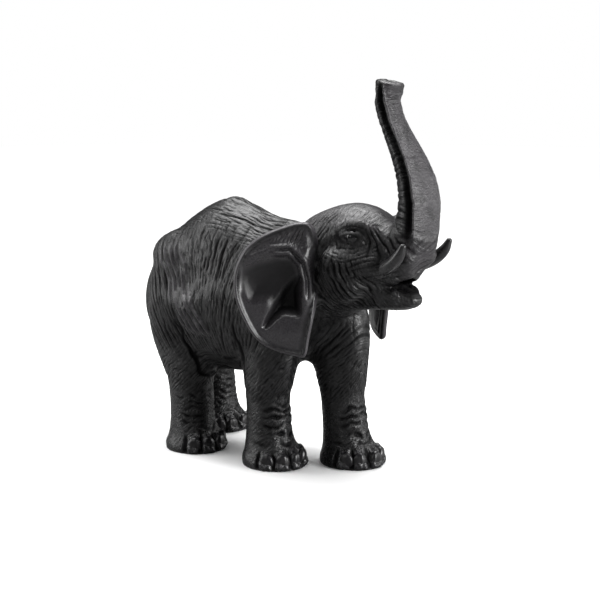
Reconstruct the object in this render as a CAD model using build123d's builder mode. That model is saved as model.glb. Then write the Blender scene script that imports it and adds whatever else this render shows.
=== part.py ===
"""Carved wooden elephant figurine, standing with its trunk raised, in millimetres.

The design frame has +X towards the head, +Y to the animal's left and +Z up, with the
table top at Z = 0. Every piece is a separate carved blank, glued to its neighbours:
flat faces with dowels at the neck, trunk and legs, a tongue in a slot at each ear, and
a round tenon in a socket at each tusk and at the tail. At the end the whole figure is
shifted along X so that its origin is the bottom centre of its bounding box.
"""

import os
from math import atan2, cos, degrees, pi, radians, sin

from build123d import *

# Joinery
GLUE_GAP = 0.1  # radial room for glue round a dowel, tongue or tenon
DOWEL_RADIUS = 4.0
DOWEL_HALF_LENGTH = 14.0
NECK_DOWEL_OFFSET = 12.0  # each side of the middle
LEG_DOWEL_OFFSET = 7.5  # ahead of and behind the leg's centre
TRUNK_DOWEL_RADIUS = 3.0
LEG_JOINT_Z = 54.0  # height of the flat face on top of every leg
TUSK_TENON_RADIUS = 2.6
TUSK_TENON_LENGTH = 9.0
TUSK_TENON_OVERLAP = 1.0  # how far the tenon starts inside the tusk
TAIL_TENON_RADIUS = 2.0
TAIL_TENON_LENGTH = 8.0
TAIL_TENON_TILT = -24.0  # degrees that the tenon runs down and forward into the rump
TAIL_TENON_OVERLAP = 6.0  # how far the tenon starts inside the tail

# Small parts
EYE_CENTRE = (72.5, 28, 169.8)
EYE_RADIUS = 5.2
NAIL_RADII = (5.2, 3.0, 6.0)  # along the foot's outline, outwards and up
NAIL_CLEARANCE = 0.8  # between a nail's lowest point and the table
NAIL_INSET = 1.5  # from the foot's widest outline in to a nail's centre
FRONT_NAIL_TURNS = (-64, -32, 0, 32, 64)  # degrees round the foot from straight ahead
REAR_NAIL_TURNS = (-48, -16, 16, 48)

# Each ring is (x, z, tilt of its axis above +X in degrees, half width, half height, egg),
# where egg narrows the upper side of the section and widens the lower side.
RING_POINTS = 12
TORSO_RINGS = (
    (-142, 106, 0, 8, 10, 0.0),
    (-138, 107, 0, 22, 24, 0.0),
    (-128, 109, 0, 35, 39, 0.0),
    (-112, 114, 0, 43, 51, 0.05),
    (-90, 120, 0, 48, 60, 0.12),
    (-66, 123, 0, 49, 64, 0.16),
    (-40, 121, 0, 47, 60, 0.18),
    (-16, 121, 4, 43, 52, 0.16),
    (6, 129, 14, 38, 43.5, 0.12),
    (26, 142, 26, 33, 35.5, 0.06),
)
HEAD_RINGS = (
    (26, 142, 26, 33, 35.5, 0.06),
    (46, 151, 14, 36, 36.5, 0.05),
    (64, 156, 12, 34, 32.5, 0.04),
    (80, 160.5, 22, 29, 25, 0.0),
    (92.5, 164.5, 46, 22, 18.5, 0.04),
    (103, 176, 70, 16.5, 15.5, 0.1),
)
JAW_RINGS = (
    (48, 131, -4, 24, 16, 0.0),
    (66, 130, -4, 19.5, 12, 0.0),
    (82, 129, -2, 15, 9.5, 0.0),
    (96, 127.5, 4, 10.5, 6.5, 0.0),
    (107, 128, 14, 3.5, 2.5, 0.0),
)
TRUNK_RINGS = (
    (103, 176, 70, 16.5, 15.5, 0.1),
    (104.5, 192, 88, 15.6, 13.2, 0.12),
    (102, 206, 101, 14.8, 12.0, 0.14),
    (96.8, 218.5, 112, 12.8, 10.8, 0.14),
    (89.8, 231, 118, 10.9, 9.2, 0.12),
    (82.3, 244, 116, 9.6, 8.2, 0.1),
    (77.5, 258, 103, 9.6, 8.2, 0.08),
    (78.5, 271.5, 86, 10.8, 9.4, 0.04),
)

# Foot and shank rings are (z, shift along X, radius along X, radius along Y) about a line
# that leans from the foot's centre to the joint. Haunch rings, carved in one with the
# torso, are (z, share of the way from the joint to the top of the limb, inward shift,
# radius along X, radius along Y).
FRONT_FOOT = ((0, 0, 22.5, 20.5), (5, 0.5, 23, 21), (14, -2, 19.5, 18.5))
REAR_FOOT = ((0, 0, 21.5, 20), (5, 0.5, 22, 20.5), (14, -1.5, 19, 18.5))
FRONT_SHANK = ((27, -3.5, 17, 16.4), (40, -3.5, 16.6, 16), (LEG_JOINT_Z, -3.5, 17.8, 17))
REAR_SHANK = ((27, -3, 17, 16.5), (40, -3.5, 17.2, 16.5), (LEG_JOINT_Z, -4.5, 19, 17.5))
FRONT_HAUNCH = (
    (LEG_JOINT_Z, 0.0, 0, 17.8, 17),
    (74, 0.3, 1, 22, 18),
    (102, 0.75, 2, 25, 20),
    (128, 1.0, 5, 20, 16),
)
REAR_HAUNCH = (
    (LEG_JOINT_Z, 0.0, 0, 19, 17.5),
    (74, 0.5, 1, 26.5, 20.5),
    (102, 0.95, 1, 30, 22),
    (130, 1.0, 2, 27, 20),
    (150, 1.0, 3, 20, 15),
    (163, 1.0, 6, 7, 6),
)


def leg_plan(x, y, lean, top_x, front):
    """A foot's centre, how far ahead of it the joint is, the limb's top, and its kind."""
    foot, shank, haunch, turns = (
        (FRONT_FOOT, FRONT_SHANK, FRONT_HAUNCH, FRONT_NAIL_TURNS)
        if front
        else (REAR_FOOT, REAR_SHANK, REAR_HAUNCH, REAR_NAIL_TURNS)
    )
    plan = {"x": x, "y": y, "lean": lean, "top_x": top_x, "joint_x": x + lean + shank[-1][1]}
    return plan | {"foot": foot, "shank": shank, "haunch": haunch, "turns": turns}


LEGS = {
    "front_left": leg_plan(34, 20, -6.5, 20, True),
    "front_right": leg_plan(-7, -20, -1.5, -10, True),
    "rear_left": leg_plan(-109, 26, -5, -104, False),
    "rear_right": leg_plan(-81, -28, 0, -95, False),
}

# Ears: each is a piece of an upright cylindrical shell, cut to an outline drawn on a
# plane as (distance out from the ear's root, height above the root).
EAR_ROOT = (47, 37, 134)
EAR_SPREAD = 38  # degrees that each ear stands out from straight back
EAR_THICKNESS = 4.0
EAR_CUP_RADIUS = 95.0
EAR_CUP_MIDDLE = 26.0  # how far out from the root the cup is deepest
EAR_CUT_DEPTH = 30.0
EAR_SHELL_HEIGHT = 120.0
EAR_OUTLINE = (
    (-3, 22),
    (2, 41),
    (20, 42),
    (40, 32),
    (51, 16),
    (53, -4),
    (47, -20),
    (34, -35),
    (15, -44.5),
    (6, -45),
    (4.5, -32),
    (1, -12),
)
TONGUE_SIZE = (22.0, 3.0, 26.0)  # length along the slot, thickness, height
TONGUE_START = 6.0  # how much of the tongue is inside the ear
TONGUE_RISE = 14.0  # of the tongue's middle above the ear's root
TONGUE_TURN = 56.5  # degrees that the slot runs inwards from straight ahead

# Each tusk ring is (x, y, z, radius) on the left side.
TUSK_RINGS = (
    (87, 20, 148.6, 4.9),
    (94.5, 22, 150.8, 4.7),
    (102, 23.8, 154.6, 4.3),
    (108, 24.9, 160.2, 3.6),
    (111.5, 25.4, 166.5, 2.0),
)

# The tail's rings are (x, y, z, tilt of its axis above +X in degrees, radius).
TAIL_RINGS = (
    (-134, 0, 138, 160, 4.4),
    (-143, 0.5, 131, 118, 4.2),
    (-147, 1.5, 116, 98, 3.6),
    (-146.5, 3, 99, 84, 3.1),
    (-142, 4, 81, 74, 2.9),
    (-137, 5, 67, 72, 4.4),
    (-133.5, 5, 55, 76, 3.6),
    (-132, 5, 47, 84, 1.2),
)


def heading(tilt):
    """The direction in the XZ plane that is tilt degrees above +X."""
    return (cos(radians(tilt)), 0, sin(radians(tilt)))


def tilted_plane(x, y, z, tilt):
    """A plane across the figure's length: its normal is tilt degrees above +X."""
    return Plane(origin=(x, y, z), x_dir=(0, 1, 0), z_dir=heading(tilt))


def egg_points(half_width, half_height, egg):
    """Points round a section that is narrower above than below by the share egg."""
    turns = [2 * pi * step / RING_POINTS for step in range(RING_POINTS)]
    return [
        (half_width * (1 + egg * sin(turn)) * cos(turn), -half_height * sin(turn))
        for turn in turns
    ]


def ringed_body(rings):
    """A solid through a run of egg-shaped rings."""
    with BuildPart() as body:
        for x, z, tilt, half_width, half_height, egg in rings:
            with BuildSketch(tilted_plane(x, 0, z, tilt)):
                with BuildLine():
                    Spline(*egg_points(half_width, half_height, egg), periodic=True)
                make_face()
        loft()
    return body.part


def limb_body(rings):
    """A solid through level ellipses, each (z, centre x, centre y, radius x, radius y)."""
    with BuildPart() as body:
        for z, x, y, radius_x, radius_y in rings:
            with BuildSketch(Plane.XY.offset(z)):
                with Locations((x, y)):
                    Ellipse(radius_x, radius_y)
        loft()
    return body.part


def leg_body(leg):
    """The foot and shank of a leg, up to its joint."""
    return limb_body(
        [
            (z, leg["x"] + shift + leg["lean"] * z / LEG_JOINT_Z, leg["y"], radius_x, radius_y)
            for z, shift, radius_x, radius_y in leg["foot"] + leg["shank"]
        ]
    )


def haunch_body(leg):
    """The part of a limb above its joint, which is carved in one with the torso."""
    side = 1 if leg["y"] > 0 else -1
    reach = leg["top_x"] - leg["joint_x"]
    return limb_body(
        [
            (z, leg["joint_x"] + reach * share, leg["y"] - side * inward, radius_x, radius_y)
            for z, share, inward, radius_x, radius_y in leg["haunch"]
        ]
    )


def rod(start, direction, radius, ahead, behind):
    """A round rod that runs through start, ahead and behind by the given lengths."""
    plane = Plane(origin=start, z_dir=direction).offset(-behind)
    with BuildPart(plane) as body:
        Cylinder(radius, ahead + behind, align=(Align.CENTER, Align.CENTER, Align.MIN))
    return body.part


def neck_rods(gap):
    """Two dowels, grown by gap, across the joint between the torso and the head."""
    x, z, tilt = HEAD_RINGS[0][:3]
    half = DOWEL_HALF_LENGTH + gap
    return [
        rod((x, y, z), heading(tilt), DOWEL_RADIUS + gap, half, half)
        for y in (-NECK_DOWEL_OFFSET, NECK_DOWEL_OFFSET)
    ]


def trunk_rod(gap):
    """The dowel, grown by gap, across the joint between the head and the trunk."""
    x, z, tilt = TRUNK_RINGS[0][:3]
    half = DOWEL_HALF_LENGTH + gap
    return rod((x, 0, z), heading(tilt), TRUNK_DOWEL_RADIUS + gap, half, half)


def leg_rods(leg, gap):
    """Two upright dowels, grown by gap, one ahead of the other, across a leg's joint."""
    half = DOWEL_HALF_LENGTH + gap
    return [
        rod((leg["joint_x"] + step, leg["y"], LEG_JOINT_Z), (0, 0, 1), DOWEL_RADIUS + gap, half, half)
        for step in (-LEG_DOWEL_OFFSET, LEG_DOWEL_OFFSET)
    ]


def ear_plane(side):
    """The upright plane an ear is drawn on: its X runs out and back from the head."""
    spread = radians(EAR_SPREAD)
    return Plane(
        origin=(EAR_ROOT[0], side * EAR_ROOT[1], EAR_ROOT[2]),
        x_dir=(-cos(spread), side * sin(spread), 0),
        z_dir=(-side * sin(spread), -cos(spread), 0),
    )


def ear_tongue(side, gap):
    """The tongue, grown by gap, that runs from the ear's root into the head."""
    length, thickness, height = TONGUE_SIZE
    inwards = Vector(cos(radians(TONGUE_TURN)), -side * sin(radians(TONGUE_TURN)), 0)
    root = Vector(EAR_ROOT[0], side * EAR_ROOT[1], EAR_ROOT[2] + TONGUE_RISE)
    start = root - inwards * TONGUE_START
    with BuildPart(Plane(origin=start, x_dir=inwards, z_dir=(0, 0, 1))) as body:
        Box(
            length + gap,
            thickness + 2 * gap,
            height + 2 * gap,
            align=(Align.MIN, Align.CENTER, Align.CENTER),
        )
    return body.part


def tusk_body(side):
    """A tusk that curves forwards and up, without its tenon."""
    last = len(TUSK_RINGS) - 1
    with BuildPart() as body:
        for index, (x, y, z, radius) in enumerate(TUSK_RINGS):
            after = TUSK_RINGS[min(index + 1, last)]
            before = TUSK_RINGS[max(index - 1, 0)]
            forwards = [end - start for end, start in zip(after, before)]
            normal = (forwards[0], side * forwards[1], forwards[2])
            with BuildSketch(Plane(origin=(x, side * y, z), z_dir=normal)):
                Circle(radius)
        loft()
    return body.part


def tusk_tenon(side, gap):
    """A tusk's tenon, grown by gap, which runs back into the head."""
    start, after = TUSK_RINGS[:2]
    back = [first - second for first, second in zip(start, after)]
    direction = (back[0], side * back[1], back[2])
    origin = (start[0], side * start[1], start[2])
    return rod(origin, direction, TUSK_TENON_RADIUS + gap, TUSK_TENON_LENGTH + gap, TUSK_TENON_OVERLAP)


def tail_body():
    """The tail with its tuft, without its tenon."""
    with BuildPart() as body:
        for x, y, z, tilt, radius in TAIL_RINGS:
            with BuildSketch(tilted_plane(x, y, z, tilt)):
                Circle(radius)
        loft()
    return body.part


def tail_tenon(gap):
    """The tail's tenon, grown by gap, down and forward into the rump."""
    radius = TAIL_TENON_RADIUS + gap
    return rod(
        TAIL_RINGS[0][:3],
        heading(TAIL_TENON_TILT),
        radius,
        TAIL_TENON_LENGTH + gap,
        TAIL_TENON_OVERLAP,
    )


def nail_bodies(leg, gap):
    """The domed toenails, grown by gap, along the front of a foot."""
    _, shift, radius_x, radius_y = leg["foot"][1]
    along, outward, up = (size + gap for size in NAIL_RADII)
    centre_z = NAIL_RADII[2] + NAIL_CLEARANCE
    centre_x = leg["x"] + shift + leg["lean"] * centre_z / LEG_JOINT_Z
    nails = []
    for turn in leg["turns"]:
        ahead = cos(radians(turn))
        across = sin(radians(turn))
        x = centre_x + ahead * (radius_x - NAIL_INSET)
        y = leg["y"] + across * (radius_y - NAIL_INSET)
        facing = degrees(atan2(across * radius_x, ahead * radius_y))
        with BuildPart() as dome:
            Sphere(1.0)
            scale(by=(outward, along, up))
        nails.append(dome.part.moved(Location((x, y, centre_z), (0, 0, facing))))
    return nails


def eye_body(side, gap):
    """A bead eye, grown by gap."""
    x, y, z = EYE_CENTRE
    with BuildPart() as bead:
        with Locations((x, side * y, z)):
            Sphere(EYE_RADIUS + gap)
    return bead.part


SIDES = {"left": 1, "right": -1}
pieces = {}

# Torso, with the upper limbs
barrel = ringed_body(TORSO_RINGS)
haunches = [haunch_body(leg) for leg in LEGS.values()]
torso_holes = neck_rods(GLUE_GAP) + [tail_tenon(GLUE_GAP)]
for leg in LEGS.values():
    torso_holes += leg_rods(leg, GLUE_GAP)
with BuildPart() as torso:
    add(barrel)
    add(haunches)
    add(torso_holes, mode=Mode.SUBTRACT)
pieces["torso"] = torso.part

# Legs, with their dowels and inlaid toenails
for name, leg in LEGS.items():
    shank_and_foot = leg_body(leg)
    leg_holes = leg_rods(leg, GLUE_GAP)
    nail_pockets = nail_bodies(leg, GLUE_GAP)
    with BuildPart() as lower_leg:
        add(shank_and_foot)
        add(leg_holes, mode=Mode.SUBTRACT)
        add(nail_pockets, mode=Mode.SUBTRACT)
    pieces[f"leg_{name}"] = lower_leg.part

    leg_pegs = leg_rods(leg, 0.0)
    with BuildPart() as leg_dowels:
        add(leg_pegs)
    pieces[f"leg_dowels_{name}"] = leg_dowels.part

    nail_domes = nail_bodies(leg, 0.0)
    with BuildPart() as toenails:
        add(nail_domes)
    pieces[f"toenails_{name}"] = toenails.part

# Ears, tusks and eyes
for name, side in SIDES.items():
    plane = ear_plane(side)
    outline = [(out, -side * up) for out, up in EAR_OUTLINE]
    facing = Vector(sin(radians(EAR_SPREAD)), side * cos(radians(EAR_SPREAD)), 0)
    cup_axis = plane.origin + plane.x_dir * EAR_CUP_MIDDLE + facing * EAR_CUP_RADIUS
    tongue = ear_tongue(side, 0.0)
    with BuildPart() as ear:
        with BuildSketch(plane):
            with BuildLine():
                Spline(*outline, periodic=True)
            make_face()
        extrude(amount=EAR_CUT_DEPTH, both=True)
        with Locations(cup_axis):
            Cylinder(EAR_CUP_RADIUS + EAR_THICKNESS / 2, EAR_SHELL_HEIGHT, mode=Mode.INTERSECT)
            Cylinder(EAR_CUP_RADIUS - EAR_THICKNESS / 2, EAR_SHELL_HEIGHT, mode=Mode.SUBTRACT)
        add(tongue)
    pieces[f"ear_{name}"] = ear.part

    curved_tusk = tusk_body(side)
    tusk_peg = tusk_tenon(side, 0.0)
    with BuildPart() as tusk:
        add(curved_tusk)
        add(tusk_peg)
    pieces[f"tusk_{name}"] = tusk.part

    bead_eye = eye_body(side, 0.0)
    with BuildPart() as eye:
        add(bead_eye)
    pieces[f"eye_{name}"] = eye.part

# Head, with its lower jaw
skull = ringed_body(HEAD_RINGS)
jaw = ringed_body(JAW_RINGS)
head_holes = neck_rods(GLUE_GAP) + [trunk_rod(GLUE_GAP)]
for side in SIDES.values():
    head_holes += [
        ear_tongue(side, GLUE_GAP),
        tusk_body(side),
        tusk_tenon(side, GLUE_GAP),
        eye_body(side, GLUE_GAP),
    ]
with BuildPart() as head:
    add(skull)
    add(jaw)
    add(barrel, mode=Mode.SUBTRACT)
    add(haunches, mode=Mode.SUBTRACT)
    add(head_holes, mode=Mode.SUBTRACT)
pieces["head"] = head.part

# Trunk
raised_trunk = ringed_body(TRUNK_RINGS)
trunk_hole = trunk_rod(GLUE_GAP)
with BuildPart() as trunk:
    add(raised_trunk)
    add(trunk_hole, mode=Mode.SUBTRACT)
pieces["trunk"] = trunk.part

# Dowels of the neck and the trunk
neck_pegs = neck_rods(0.0)
with BuildPart() as neck_dowels:
    add(neck_pegs)
pieces["neck_dowels"] = neck_dowels.part

trunk_peg = trunk_rod(0.0)
with BuildPart() as trunk_dowel:
    add(trunk_peg)
pieces["trunk_dowel"] = trunk_dowel.part

# Tail
curved_tail = tail_body()
tail_peg = tail_tenon(0.0)
with BuildPart() as tail:
    add(curved_tail)
    add(barrel, mode=Mode.SUBTRACT)
    add(tail_peg)
pieces["tail"] = tail.part

lowest_x = min(piece.bounding_box().min.X for piece in pieces.values())
highest_x = max(piece.bounding_box().max.X for piece in pieces.values())
to_row_frame = Location((-(lowest_x + highest_x) / 2, 0, 0))

os.makedirs("parts", exist_ok=True)
for name, piece in pieces.items():
    placed = piece.moved(to_row_frame)
    placed.label = name
    export_step(placed, f"parts/{name}.step")
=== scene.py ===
"""Looks of the carved elephant figurine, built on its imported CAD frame.

The CAD solids of the body are joined into one distance field, given the carver's anatomy
(brows, cheeks, mouth, hips), turned into a fine skin, grooved along the flow of the hide
and cut at the glued joints into one piece for each blank. Lengths inside the script are
millimetres from the carving's own origin, which lies a fixed way behind its eyes.
"""

import math

import bmesh
import bpy
import numpy as np
import openvdb
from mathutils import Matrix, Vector


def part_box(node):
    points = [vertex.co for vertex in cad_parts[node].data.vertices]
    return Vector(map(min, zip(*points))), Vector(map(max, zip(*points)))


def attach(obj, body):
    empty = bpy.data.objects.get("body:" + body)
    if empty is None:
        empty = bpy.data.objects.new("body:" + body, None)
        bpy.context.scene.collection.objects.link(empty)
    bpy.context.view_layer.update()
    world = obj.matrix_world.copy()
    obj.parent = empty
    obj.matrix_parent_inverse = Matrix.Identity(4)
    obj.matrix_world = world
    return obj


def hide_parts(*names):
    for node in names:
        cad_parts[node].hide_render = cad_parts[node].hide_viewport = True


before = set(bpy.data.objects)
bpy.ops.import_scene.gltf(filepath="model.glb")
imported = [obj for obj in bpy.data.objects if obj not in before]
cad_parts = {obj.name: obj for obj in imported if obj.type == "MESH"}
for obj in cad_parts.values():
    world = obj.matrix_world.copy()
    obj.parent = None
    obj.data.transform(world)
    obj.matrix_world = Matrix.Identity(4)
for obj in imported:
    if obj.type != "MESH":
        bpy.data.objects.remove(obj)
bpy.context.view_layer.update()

MM = 0.001
SIDES = {"left": 1, "right": -1}
LEG_NAMES = ("front_left", "front_right", "rear_left", "rear_right")
EYE = np.array([72.5, 28.0, 169.8])  # the left eye's middle, mm from the carving's origin


def cad_box(node):
    """A CAD node's lowest and highest corner, in mm, before the carving's origin is set."""
    low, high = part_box(node)
    return np.array(low) / MM, np.array(high) / MM


ORIGIN_X = sum(corner[0] for corner in cad_box("eye_left")) / 2 - EYE[0]


def to_carving(points):
    """Row-frame metres to carving millimetres."""
    points = np.asarray(points, float) / MM
    points[..., 0] -= ORIGIN_X
    return points


def to_row(points):
    """Carving millimetres to row-frame metres."""
    points = np.array(points, float)
    points[..., 0] += ORIGIN_X
    return points * MM


def points_of(mesh):
    """A mesh's points, in carving millimetres."""
    flat = np.empty(len(mesh.vertices) * 3, np.float32)
    mesh.vertices.foreach_get("co", flat)
    return to_carving(flat.reshape(-1, 3))


def centre_of(node):
    """The middle of a CAD node's box, in carving millimetres."""
    low, high = cad_box(node)
    middle = (low + high) / 2
    middle[0] -= ORIGIN_X
    return middle


# ---------------- small maths
def unit(value):
    """Vectors scaled to length 1."""
    return value / (np.linalg.norm(value, axis=-1, keepdims=True) + 1e-12)


def smooth_step(value, start, end):
    """0 up to start, 1 from end on, and a smooth rise between."""
    share = np.clip((value - start) / (end - start), 0, 1)
    return share * share * (3 - 2 * share)


def bump_window(value, start, end, soft):
    """1 between start and end, fading to 0 over soft on each side."""
    return smooth_step(value, start - soft, start) * (1 - smooth_step(value, end, end + soft))


def bell(value, middle, width):
    """1 at middle, falling to almost 0 two widths to each side."""
    return np.exp(-(((value - middle) / width) ** 2))


def curve_through(before, start, end, after, share):
    """Points between start and end on a smooth curve through four spots, by the share of the way."""
    straight = (end - before) * share
    bend = (2 * before - 5 * start + 4 * end - after) * share**2
    twist = (3 * start - 3 * end + after - before) * share**3
    return 0.5 * (2 * start + straight + bend + twist)


def near(points, centre, radii):
    """1 at centre, falling smoothly to 0 on the ellipsoid of the given radii."""
    offset = (points - np.asarray(centre, float)) / np.asarray(radii, float)
    return 1 - smooth_step(np.sqrt((offset**2).sum(-1)), 0.0, 1.0)


NOISE_GAIN = 1.6
RANDOM = np.random.default_rng(11)
SHUFFLED = np.tile(RANDOM.permutation(256), 2)
SLOPES = RANDOM.normal(size=(256, 3))
SLOPES = (SLOPES / np.linalg.norm(SLOPES, axis=1, keepdims=True)).astype(np.float32)


def noise(points):
    """Smooth gradient noise, about -1 to 1, at points given in units of its grid."""
    points = np.asarray(points, np.float32)
    cell = np.floor(points).astype(np.int64)
    inside = points - cell
    weight = inside**3 * (inside * (inside * 6 - 15) + 10)
    total = np.zeros(len(points), np.float32)
    for corner in range(8):
        step = np.array([corner & 1, corner >> 1 & 1, corner >> 2 & 1])
        place = (cell + step) & 255
        pick = SHUFFLED[SHUFFLED[SHUFFLED[place[:, 0]] + place[:, 1]] + place[:, 2]]
        slope = (SLOPES[pick] * (inside - step)).sum(1)
        share = np.where(step, weight, 1 - weight).prod(1)
        total += share * slope
    return total * NOISE_GAIN


def layered(points, scale, layers):
    """Noise at several sizes; scale is the largest size in mm and each is half the last."""
    total = 0.0
    for layer in range(layers):
        size = 0.5**layer
        total = total + size * noise(points / (scale * size) + 17.3 * layer)
    return total


FURROW_WANDER = 0.44  # of the spacing


def furrows(across, along, spacing, seed, reach, sharp=2.2):
    """Long cut lines, 0 on the ridges to 1 in the cuts, that wander, fork and fade.

    across grows from line to line and along runs with them, both in mm.
    """
    flat = np.stack([across / (spacing * 3.1), along / reach, np.full_like(across, seed)], 1)
    drift = noise(flat) + 0.5 * noise(flat * 2.3 + 5.1)
    cut = 1 - np.abs(np.sin(np.pi * (across / spacing + FURROW_WANDER * drift)))
    spots = [across / (spacing * 1.3), along / (reach * 0.5), np.full_like(across, seed + 9)]
    return cut**sharp * smooth_step(noise(np.stack(spots, 1)), -0.6, 0.45)


# ---------------- distance fields
STEP = 1.4  # mm between the field's samples
BAND = 22.0  # mm each side of a surface for which its distance is kept
MARGIN = 16.0  # mm of room round the body
BODY_NODES = ("torso", "head", "trunk") + tuple(f"leg_{name}" for name in LEG_NAMES)

BODY_BOXES = np.array([cad_box(node) for node in BODY_NODES]) - (ORIGIN_X, 0, 0)
FIELD_LOW = BODY_BOXES[:, 0].min(0) - MARGIN
FIELD_HIGH = BODY_BOXES[:, 1].max(0) + MARGIN
FIELD_SHAPE = tuple(int(n) for n in np.ceil((FIELD_HIGH - FIELD_LOW) / STEP))
AXES = [
    (FIELD_LOW[axis] + STEP * np.arange(FIELD_SHAPE[axis])).astype(np.float32) for axis in range(3)
]
GX = AXES[0][:, None, None]
GY = AXES[1][None, :, None]
GZ = AXES[2][None, None, :]


def field_of_mesh(points, triangles, quads=None):
    """The signed distance in mm to a closed mesh given in carving millimetres."""
    grid = openvdb.FloatGrid.createLevelSetFromPolygons(
        ((points - FIELD_LOW) / STEP).astype(np.float32),
        triangles=triangles,
        quads=quads,
        transform=openvdb.createLinearTransform(voxelSize=1.0),
        exBandWidth=BAND / STEP,
        inBandWidth=BAND / STEP,
    )
    values = np.empty(FIELD_SHAPE, np.float32)
    grid.copyToArray(values)
    return values * STEP


def field_of_node(node):
    """The signed distance in mm to a CAD node."""
    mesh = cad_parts[node].data
    mesh.calc_loop_triangles()
    triangles = np.empty(len(mesh.loop_triangles) * 3, np.int32)
    mesh.loop_triangles.foreach_get("vertices", triangles)
    return field_of_mesh(points_of(mesh), triangles.reshape(-1, 3).astype(np.uint32))


def skin_of(field, level=0.0):
    """Points in carving millimetres, triangles and quads of the surface at a level."""
    grid = openvdb.FloatGrid(float(BAND))
    grid.copyFromArray(np.ascontiguousarray(field, np.float32))
    points, triangles, quads = grid.convertToPolygons(isovalue=level)
    return points * STEP + FIELD_LOW, triangles, quads


def closed_up(field, radius):
    """The field with every crease narrower than a ball of that radius filled to the ball."""
    points, triangles, quads = skin_of(field, radius)
    return field_of_mesh(points, triangles, quads) + radius


def blurred(field, sigma):
    """The field smoothed over sigma mm along each axis."""
    half = int(math.ceil(2.2 * sigma / STEP))
    weights = np.exp(-0.5 * (np.arange(-half, half + 1) * STEP / sigma) ** 2)
    weights /= weights.sum()
    for axis in range(3):
        padded = np.pad(field, [(half, half) if a == axis else (0, 0) for a in range(3)], "edge")
        size = field.shape[axis]
        field = sum(
            w * np.take(padded, np.arange(k, k + size), axis) for k, w in enumerate(weights)
        ).astype(np.float32)
    return field


def join(a, b, blend):
    """Union of two fields, blended over that many mm."""
    share = np.clip(blend - np.abs(a - b), 0, None) / blend
    return np.minimum(a, b) - share * share * blend / 4


def carve(a, b, blend):
    """Field a with b cut out of it, blended over that many mm."""
    return -join(-a, b, blend)


def blob(centre, radii, turn=0.0, tilt=0.0):
    """An ellipsoid: its box's reach round its centre and its distance function.

    turn is about Z and tilt raises its length above level, both in degrees.
    """

    def distance(x, y, z):
        x, y, z = x - centre[0], y - centre[1], z - centre[2]
        c, s = math.cos(math.radians(turn)), math.sin(math.radians(turn))
        x, y = c * x + s * y, c * y - s * x
        c, s = math.cos(math.radians(tilt)), math.sin(math.radians(tilt))
        x, z = c * x + s * z, c * z - s * x
        rx, ry, rz = radii
        near_one = np.sqrt((x / rx) ** 2 + (y / ry) ** 2 + (z / rz) ** 2)
        slope = np.sqrt((x / rx**2) ** 2 + (y / ry**2) ** 2 + (z / rz**2) ** 2) + 1e-6
        return near_one * (near_one - 1) / slope

    reach = max(radii)
    return np.array(centre) - reach, np.array(centre) + reach, distance


def limb(start, end, start_radius, end_radius):
    """A rounded bar between two points, as blob gives an ellipsoid."""
    start, end = np.array(start, np.float32), np.array(end, np.float32)
    way = end - start

    def distance(x, y, z):
        x, y, z = x - start[0], y - start[1], z - start[2]
        share = np.clip((x * way[0] + y * way[1] + z * way[2]) / (way @ way), 0, 1)
        gap = np.sqrt((x - share * way[0]) ** 2 + (y - share * way[1]) ** 2 + (z - share * way[2]) ** 2)
        return gap - (start_radius + share * (end_radius - start_radius))

    reach = max(start_radius, end_radius)
    return np.minimum(start, end) - reach, np.maximum(start, end) + reach, distance


def bars_through(spots, radius):
    """Rounded bars of one radius from each spot to the next."""
    return [limb(start, end, radius, radius) for start, end in zip(spots, spots[1:])]


def flipped(spot, side):
    """A place given for the left side, on either side."""
    x, y, z = spot
    return x, side * y, z


def mirrored(maker, arguments, side):
    """A blob or limb given for the left side, made on either side."""
    if maker is limb:
        start, end, start_radius, end_radius = arguments
        return limb(flipped(start, side), flipped(end, side), start_radius, end_radius)
    centre, radii, turn, tilt = arguments
    return blob(flipped(centre, side), radii, side * turn, tilt)


def work(field, shape, blend, tool=join):
    """Joins a shape to the field, or cuts it out, within its own box only."""
    low, high, distance = shape
    room = blend + 7
    first = np.clip(((low - room - FIELD_LOW) / STEP).astype(int), 0, None)
    last = np.ceil((high + room - FIELD_LOW) / STEP).astype(int)
    x, y, z = (slice(a, b) for a, b in zip(first, last))
    field[x, y, z] = tool(field[x, y, z], distance(GX[x], GY[:, y], GZ[:, :, z]), blend)


# ---------------- the body's form
EYE_RADIUS = 5.2
LID_TURN = 14.0  # degrees that each eye looks ahead of square to the side
# Lids and bags round an eye: (first and last angle, half length and height, out, thickness, blend)
LIDS = (
    (5, 175, (8.2, 2.5), 3.6, 1.6, 1.2),
    (188, 352, (8.2, 2.7), 3.3, 1.3, 1.2),
    (200, 345, (9.0, 6.6), 2.4, 1.2, 1.4),
    (212, 330, (10.0, 10.6), 1.6, 1.2, 1.8),
)
BROW = ((62, 28, 174), (69, 27, 177.5), (77, 25.5, 178), (84, 22.5, 174.5), (89, 20, 169))
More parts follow.
